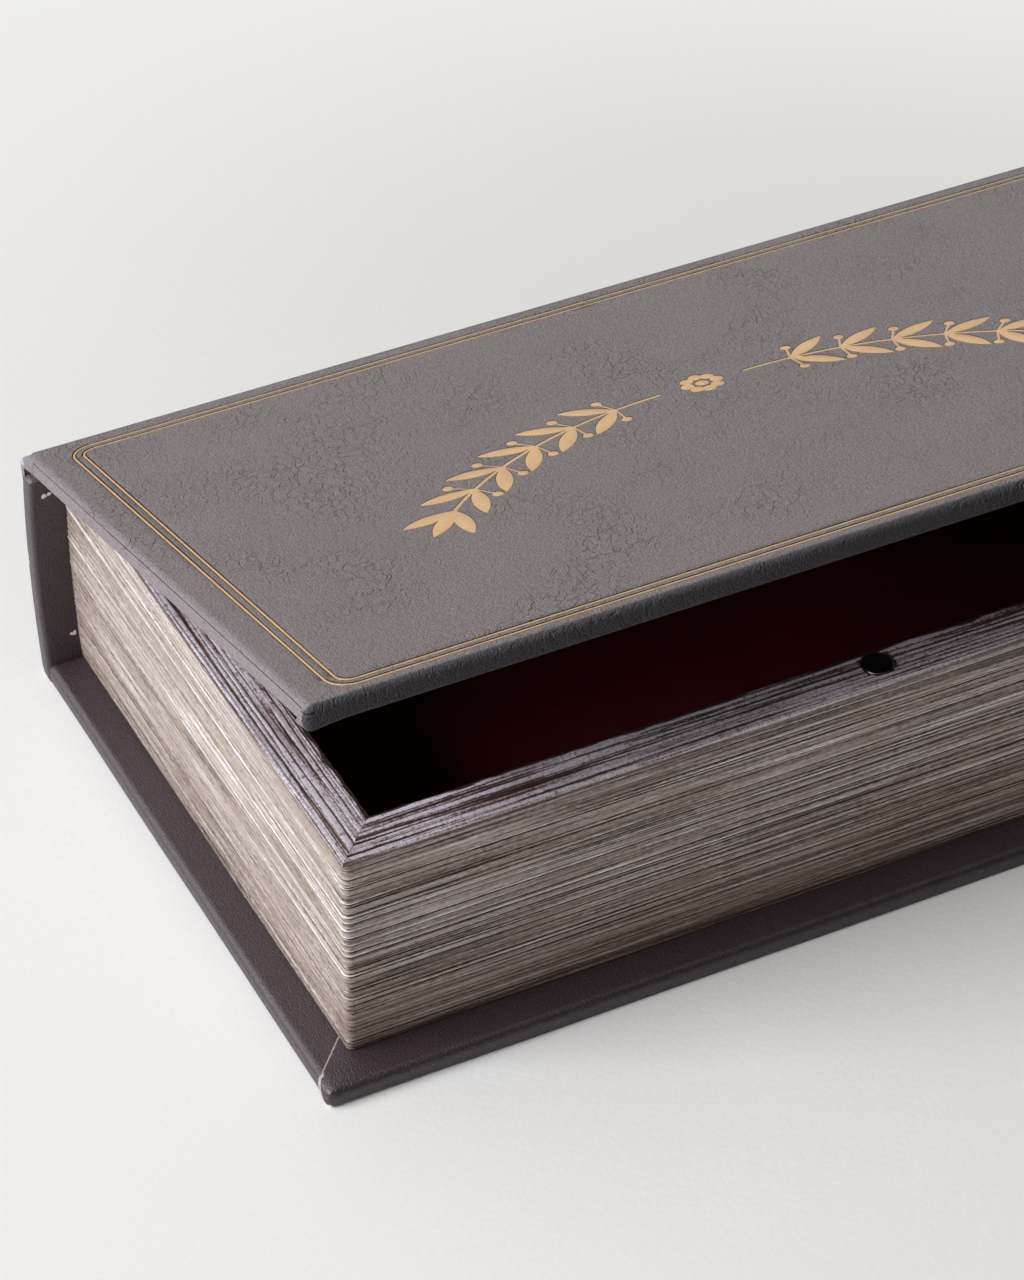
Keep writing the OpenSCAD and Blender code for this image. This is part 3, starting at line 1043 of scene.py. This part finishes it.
def joint_outline(d):
    """The outline at a distance d from the nearer end of the book."""
    drop = eased(d, cover_end_r)
    top = cover_high.z - drop
    ear_in = eased(d, 0.35 * mm)
    x, z = ear_x + ear_in, ear_z - 0.2 * ear_in
    foot = (spine_x(skin_foot, spine_out) - skin_proud + eased(d, 0.7 * mm), skin_foot)
    ear = bezier((x + 0.35 * mm, z - 1.5 * mm), (x, z), (x + 1.2 * mm, z + 0.7 * mm), 5)
    knee = bezier(on_cover(-1.7 * mm, cover_high.z - 0.8 * mm - 0.25 * drop),
                  on_cover(-0.3 * mm, cover_high.z + skin_proud - 0.7 * drop),
                  on_cover(0.9 * mm, top + skin_proud), 5)
    outer = [foot, *ear, *knee, on_cover(2.2 * mm, top + 0.05 * mm),
             on_cover(3.3 * mm, top + 0.04 * mm), on_cover(3.6 * mm, top + 0.005 * mm)]
    inner = [on_cover(3.3 * mm, top - 0.04 * mm), on_cover(2.96 * mm, top - 0.1 * mm)]
    if d < end_wall:
        start = on_cover(2.96 * mm, cover_low.z + eased(d, cover_foot_r))
        end = on_cover(-3.2 * mm, -1.6 * mm)
        for share in spaced(0, 1, fill_steps):
            inner.append(tuple(a + (b - a) * share for a, b in zip(start, end)))
    else:
        inner.append(on_cover(2.96 * mm, 1.5 * mm))
        inner += [on_circle(fill_r, degrees) for degrees in spaced(40, 190, fill_steps - 1)]
    inner.append((foot[0] + skin_thick, skin_foot + 0.4 * mm))
    return outer + inner


def wrinkles(place):
    """Small creases along the joint, which die out at its two edges."""
    crease = soft(place.x / (1.5 * mm), place.y / (24 * mm), place.z / (1.5 * mm))
    crease *= held((place.z - skin_foot) / (2 * mm))
    crease *= min(1.0, (case_high.y - abs(place.y)) / (5 * mm))
    crease *= held((on_cover(3.0 * mm, 0)[0] - place.x) / (2 * mm))
    return Vector((0, 0, crease * wrinkle_high))


end_steps = [d * mm for d in (0.0, 0.06, 0.2, 0.45, 0.8, 1.3, 2.0)]
skin_places = [case_low.y + d for d in end_steps]
skin_places += spaced(case_low.y + 2.4 * mm, case_high.y - 2.4 * mm, 60)
skin_places += [case_high.y - d for d in reversed(end_steps)]
joint_skin = along_book("joint_skin", joint_outline, skin_places, shift=wrinkles)
paint(joint_skin, "end_rounding_sheen_and_stretch", over_end)
report(joint_skin)

# %% [markdown]
# The page edges are ridged, so their relief is in the mesh. It is made of lines: each has a
# place across the strip, a strength and a way to wander. On the page edges a line is a thin
# ridge with a groove beneath it. The ridge is painted pale and the groove dark, partly print and
# partly painted highlight and shade. On the rim it is a narrow ragged groove.

# %% Relief of pressed film, in millimetres
line_above = 0.7
ridge_wide = 0.17
groove_wide = 0.19
groove_below = 0.38


def line_places(seed, last, gap, weakest):
    """Lines as (place across in mm, strength, seed), at uneven distances."""
    dice = random.Random(seed)
    lines = []
    place = gap * 0.3
    while place < last:
        lines.append((place, weakest + (1 - weakest) * dice.random() ** 1.6, dice.random() * 90))
        place += gap * (0.3 + 1.4 * dice.random())
    return lines


def rows_near(place, below, pitch, rows):
    """The rows from so far below a line to a little above it."""
    first = max(0, int((place - below) / pitch))
    return range(first, min(rows, int((place + line_above) / pitch)) + 1)


def page_relief(along, rows, pitch, lines):
    """Relief of the page edges in one column, from 0 in a groove to 1 on a ridge."""
    values = [0.5 + 0.34 * soft(along / 45, row * pitch / 0.6, 7.0)
              + 0.18 * soft(along / 160, row * pitch / 2.6, 19.0) for row in range(rows + 1)]
    for place, power, seed in lines:
        place += 0.6 * soft(along / 150, seed, 1.0) + 0.07 * soft(along / 24, seed, 2.0)
        power *= held(0.72 + 1.1 * soft(along / 70, seed, 3.0), 0.15)
        # Ridges grow taller and paler towards the top of the pages. That paleness is partly painted
        # highlight.
        pale = 0.62 * held(2.2 * place / (rows * pitch) - 0.35, 0.25)
        for row in rows_near(place, 1.2, pitch, rows):
            away = row * pitch - place
            ridge = pale * math.exp(-(away / ridge_wide) ** 2)
            groove = 0.8 * math.exp(-((away + groove_below) / groove_wide) ** 2)
            values[row] += power * (ridge - groove)
    return [held(value) for value in values]


def rim_relief(along, rows, pitch, lines):
    """Relief of the rim in one column: smooth ridges, narrow grooves and rough bands."""
    values = [0.86 + 0.2 * soft(along / 60, row * pitch / 0.9, 5.0)
              - 0.55 * max(0.0, soft(along / 45, row * pitch / 1.9, 13.0) - 0.1)
              for row in range(rows + 1)]
    for place, power, seed in lines:
        place += 0.7 * soft(along / 60, seed, 1.0) + 0.16 * soft(along / 6, seed, 2.0)
        power *= held(0.75 + 1.2 * soft(along / 30, seed, 3.0))
        wide = 0.16 + 0.16 * power + 0.1 * soft(along / 4, seed, 4.0)
        for row in rows_near(place, line_above, pitch, rows):
            values[row] -= power * math.exp(-((row * pitch - place) / wide) ** 2)
    return [held(value) for value in values]


def film(name, last, rows, lay):
    """A strip laid by lay(column, row), which gives a place and its relief. Rows past the last
    one go behind the strip, and then back to the first row, which closes it."""
    relief = {}

    def keep(i, j):
        j %= rows + 3
        place, relief[i, j] = lay(i, j)
        return place

    piece = sheet(name, last, rows + 3, keep)
    layer = piece.data.attributes.new("relief", "FLOAT", "POINT")
    layer.data.foreach_set("value", [relief[i, j % (rows + 3)]
                                     for j in range(rows + 4) for i in range(last + 1)])
    close_up(piece)
    report(piece)
    return piece


# %% [markdown]
# One grid runs round three sides of the tray, with a column every few millimetres and a row for
# every twelfth of a millimetre. Two more rows carry it in behind, so that the strip is closed.

# %% Page edges
page_deep = 0.56 * mm
wall_back = 1.0 * mm
page_r = 2.0 * mm
page_rows = 660
edge_rows = 7
spine_gap = 0.05 * mm
side_steps, front_steps, turn_steps = 26, 54, 6
page_lines = line_places(3, (wrap_high.z - wrap_low.z) / mm, 1.05, 0.25)


def path_round_tray():
    """For each column: x (a share of it on the long sides), y, and the way outwards."""
    x_turn = wrap_high.x - page_r
    y_turn = wrap_high.y - page_r
    shares = spaced(0, 1, side_steps)[:-1]
    stops = [(share, -wrap_high.y, 0.0, -1.0) for share in shares]
    for first, y in ((-90, -y_turn), (0, y_turn)):
        for degrees in spaced(first, first + 90, turn_steps):
            a = math.radians(degrees)
            c, s = math.cos(a), math.sin(a)
            stops.append((x_turn + page_r * c, y + page_r * s, c, s))
        if first < 0:
            places = spaced(-y_turn, y_turn, front_steps)[1:-1]
            stops += [(wrap_high.x, place, 1.0, 0.0) for place in places]
    return stops + [(share, wrap_high.y, 0.0, 1.0) for share in reversed(shares)]


def page_wrap():
    stops = path_round_tray()
    last = len(stops) - 1
    low_z, high_z = wrap_low.z, wrap_high.z
    pitch = (high_z - low_z) / page_rows

    def real_x(i, start):
        """A column's x. On the two long sides it is a share of the way from start."""
        on_side = i < side_steps or i > last - side_steps
        return start + (wrap_high.x - page_r - start) * stops[i][0] if on_side else stops[i][0]

    columns = []
    for i, (_, y, nx, ny) in enumerate(stops):
        behind = wrap_high.x - real_x(i, hall_rear_x)
        along = y if nx > 0.7 else math.copysign(behind, ny) + y
        columns.append(page_relief(along / mm, page_rows, pitch / mm, page_lines))

    def lay(i, j):
        _, y, nx, ny = stops[i]
        row = min(j, page_rows)
        z = low_z + pitch * row
        if j > page_rows:
            z = high_z if j == page_rows + 1 else low_z
        value = columns[i][row]
        edge = min(1.0, (page_rows - row) / edge_rows, row / edge_rows)
        deep = wall_back if j > page_rows else page_deep * (1 - value * edge)
        x = real_x(i, spine_x(z) + spine_gap)
        return Vector((x - nx * deep, y - ny * deep, z)), value

    return film("page_edges", last, page_rows, lay)


pages = page_wrap()

# %% [markdown]
# The rim is four strips of film, laid flat on the tray's walls and mitred at the corners. Each
# is a grid with ridges along it, cut off at 45 degrees at both ends. Its inner edge is a little
# ragged, where the film was trimmed.

# %% Rim strips
rim_deep = 0.34 * mm
rim_rows = 130
rim_gap = 0.06 * mm
rim_proud = 0.06 * mm


def rim_strip(name, start, end, inner, width, seed):
    """A strip from start to end along the tray's outer edge; inner points into the tray."""
    length = (end - start).length
    run = (end - start).normalized()
    count = round(length / (1.7 * mm))
    pitch = width / rim_rows
    lines = line_places(seed, width / mm, 0.95, 0.3)
    columns = [rim_relief(length * i / count / mm + 400 * seed, rim_rows, pitch / mm, lines)
               for i in range(count + 1)]

    def lay(i, j):
        row = min(j, rim_rows)
        across = pitch * row
        along = length * i / count
        torn = 0.5 + soft(along / (5 * mm), seed, 0.5)
        value = columns[i][row] * (1.0 if row < rim_rows - 4 - 9 * torn else 0.25)
        edge = min(1.0, row / edge_rows, 0.35 + (rim_rows - row) / 6)
        z = rim_high.z + rim_proud - rim_deep * (1 - value * edge)
        if row == rim_rows:
            across += 0.3 * mm * soft(along / (3 * mm), seed, 0.5)
        if j > rim_rows:
            z = rim_low.z + hair
            across = width if j == rim_rows + 1 else 0.0
        place = start + run * along + inner * across
        return Vector((place.x, place.y, z)), value

    return film(name, count, rim_rows, lay)


# %% Four strips and their mitres
rim_width = rim_high.x - rim_low.x
rear_x = spine_x(rim_high.z) + spine_gap


def outer_corner(side, end):
    """A corner of the tray. side is 1 at the front, end is 1 at the head."""
    return Vector((rim_high.x if side > 0 else rear_x, end * wrap_high.y, 0))


def inner_corner(side, end):
    return Vector((rim_low.x if side > 0 else hall_rear_x, end * (wrap_high.y - rim_width), 0))


rim_plan = (
    ("rim_front", "fore_edge_rim", (1, -1), (1, 1), (-1, 0, 0), rim_width, 4),
    ("rim_rear", "spine_side_rim", (-1, 1), (-1, -1), (1, 0, 0), hall_rear_x - rear_x, 5),
    ("rim_head", "head_rim", (1, 1), (-1, 1), (0, -1, 0), rim_width, 6),
    ("rim_tail", "tail_rim", (-1, -1), (1, -1), (0, 1, 0), rim_width, 7))
rims = {}
for name, node, a, b, inner, width, seed in rim_plan:
    strip = rim_strip(name, outer_corner(*a), outer_corner(*b), Vector(inner), width, seed)
    centre = (inner_corner(*a) + inner_corner(*b)) / 2
    for corner in (a, b):
        inside = inner_corner(*corner)
        line = (inside - outer_corner(*corner)).normalized()
        normal = Vector((line.y, -line.x, 0))
        if normal.dot(centre - inside) > 0:
            normal.negate()
        cut(strip, inside - normal * rim_gap, normal, use_fill=True, clear_outer=True)
    rims[name] = (strip, node)

# %% [markdown]
# The magnet is a small dark disc that is let into the front rim. A short cylinder gets a soft
# edge and a shallow dish, and the rim gets a hole a little wider than the disc. The disc stands
# just proud of the rim, and stays clear of the sheet inside the closed cover.

# %% Magnet
magnet_place = (magnet_low + magnet_high) / 2
magnet_r = (magnet_high.x - magnet_low.x) / 2
cover_room = 0.12 * mm
hole_room = 0.2 * mm
hole_deep = 1.5 * mm


def disc(name, r, low_z, high_z):
    place = (magnet_place.x, magnet_place.y, (low_z + high_z) / 2)
    return primitive(name, bpy.ops.mesh.primitive_cylinder_add, vertices=64, radius=r,
                     depth=high_z - low_z, location=place)


hole = disc("hole", magnet_r + hole_room, rim_high.z - hole_deep, rim_high.z + mm)
subtract(rims["rim_front"][0], hole)
closed_cover_z = hinge_place.z + cover_low.z - sheet_proud
magnet_top = min(magnet_high.z, closed_cover_z - cover_room)
magnet = disc("closure_magnet", magnet_r, magnet_low.z, magnet_top)
print("magnet above the rim in mm:", round((magnet_top - rim_high.z) / mm, 2))
with editing(magnet):
    pick(magnet, "FACE", lambda f: f.normal.z > 0.9)
    bpy.ops.mesh.bevel(offset=0.4 * mm, segments=5, affect="EDGES")
    pick(magnet, "FACE", lambda f: f.normal.z > 0.999)
    bpy.ops.mesh.inset(thickness=0.5 * mm, depth=-0.05 * mm)
report(magnet)

# %% [markdown]
# Last, each piece is swung to its place if it was made level, gets its finish, and is tied to
# the body that it moves with. The imported part that it stands for is hidden. Weighted normals
# keep the covers flat to the eye right up to their stamped dents.

# %% Finishes, bodies and the parts that they stand for


def dress(piece, finishes, body, node, angle=35):
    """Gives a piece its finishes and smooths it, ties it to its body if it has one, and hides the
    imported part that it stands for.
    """
    for finish in finishes:
        piece.data.materials.append(finish)
    smooth(piece, angle)
    if body:
        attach(piece, body)
    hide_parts(node)


for piece in (front_skin, paste_sheet, *(foil for foil, node in foils)):
    settle(piece, cover_place)

dress(front_skin, [cover_leather, cut_edge, pressed_shaded_leather], "front_cover",
      "front_leather")
dress(back_skin, [shaded_turned_leather, cut_edge, shaded_turned_leather], "case",
      "case_leather")
for piece in (front_skin, back_skin):
    apply_modifier(piece, "WEIGHTED_NORMAL", keep_sharp=True, weight=70)
dress(paste_sheet, [shaded_turned_leather], "front_cover", "front_pastedown")
for foil, node in foils:
    dress(foil, [gold], "front_cover", node)
dress(spine_skin, [cover_leather, shaded_turned_leather], "case", "case_leather")
dress(joint_roll, [shaded_turned_leather], "case", "case_leather")
dress(joint_skin, [cover_leather], None, "case_leather")
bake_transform(joint_skin)
dress(pages, [page_finish], "case", "page_edge_wrap", 60)
for strip, node in rims.values():
    dress(strip, [rim_finish], "case", node, 60)
dress(magnet, [dark_nickel], "case", "rim_magnet")

# %% [markdown]
# The box stands on a pale table under plain soft light. Far from the box the table fades into a
# plain pale ground for the camera alone, so the lamps needn't light it to the horizon.

# %% Floor
floor_size = 14.0
fade = (0.12, 0.42)
pale = "#efeeec"


def floor_paint():
    finish = Finish("pale_floor", Specular_IOR_Level=0.2, Roughness=0.8)
    mottle = finish.cloud(60)
    tooth = finish.cloud(1.6)
    shade = finish.mix((mottle * 0.5 + tooth * 0.5).kept(), "#eae9e6", "#f3f2f0")
    finish.drive(Base_Color=shade, Normal=finish.bump(tooth, 0.05 * mm))
    far = finish.vector("LENGTH", finish.here(), out="Value").rise(*fade)
    seen = finish.node("LightPath", out="Is Camera Ray")
    glow = finish.node("Emission", {"Color": pale})
    lit = Wire(finish, finish.shader.outputs[0])
    mixed = finish.node("MixShader", {0: far * seen, 1: lit, 2: glow})
    finish.feed(finish.tree.nodes["Material Output"].inputs["Surface"], mixed)
    return finish.material


floor = primitive("floor", bpy.ops.mesh.primitive_plane_add, size=floor_size)
floor.data.materials.append(floor_paint())

# %% [markdown]
# The key is a large soft lamp on the left, low enough to reach under the open cover. A second
# one hangs above. What shines sees a room that is pale behind the box and dark behind the
# camera, which gives the leatherette its sheen and keeps the front edge dark. What doesn't
# shine gets only a faint warm fill from it, so the shaded sides stay deep.

# %% Lamps
lit_point = Vector((0, 0, 0.05))


def soft_light(name, place, size, power, tint):
    lamp = bpy.data.lights.new(name, "AREA")
    lamp.shape = "RECTANGLE"
    lamp.size, lamp.size_y = size
    lamp.energy = power
    lamp.color = tint
    made = bpy.data.objects.new(name, lamp)
    scene.collection.objects.link(made)
    made.location = place
    made.rotation_mode = "QUATERNION"
    made.rotation_quaternion = (lit_point - Vector(place)).to_track_quat("-Z", "Y")
    made.visible_camera = False


soft_light("key", (-0.05, -1.7, 1.1), (1.4, 1.0), 50, (0.93, 0.955, 1.0))
soft_light("top", (-0.35, -0.6, 2.2), (1.6, 1.6), 11, (1.0, 0.955, 0.9))

# %% Room
room_bright = (-0.9, -0.15, 0.3)
sheen_power = 1.7
fill_power = 0.11
warm = (1.0, 0.88, 0.76)
warm_to_white = (0.0, 0.12, 0.24)
scene.world = scene.world or bpy.data.worlds.new("world")
scene.world.use_nodes = True
room = Nodes(scene.world.node_tree)
room.tree.nodes.clear()
where = room.node("TexCoord", out="Generated")
facing = room.vector("DOT_PRODUCT", where, room_bright, out="Value").rise(-0.3, 0.8)
shiny = room.node("LightPath", out="Is Glossy Ray")
tint = room.vector("MULTIPLY_ADD", shiny, warm_to_white, warm)
power = facing * shiny * sheen_power + (1 - shiny) * fill_power
fill = room.node("Background", {"Color": tint, "Strength": power})
seen = room.node("Background", {"Color": pale})
eye = room.node("LightPath", out="Is Camera Ray")
choose = room.node("MixShader", {0: eye, 1: fill, 2: seen})
world_out = room.tree.nodes.new("ShaderNodeOutputWorld")
room.feed(world_out.inputs["Surface"], choose)
scene.view_settings.view_transform = "Standard"
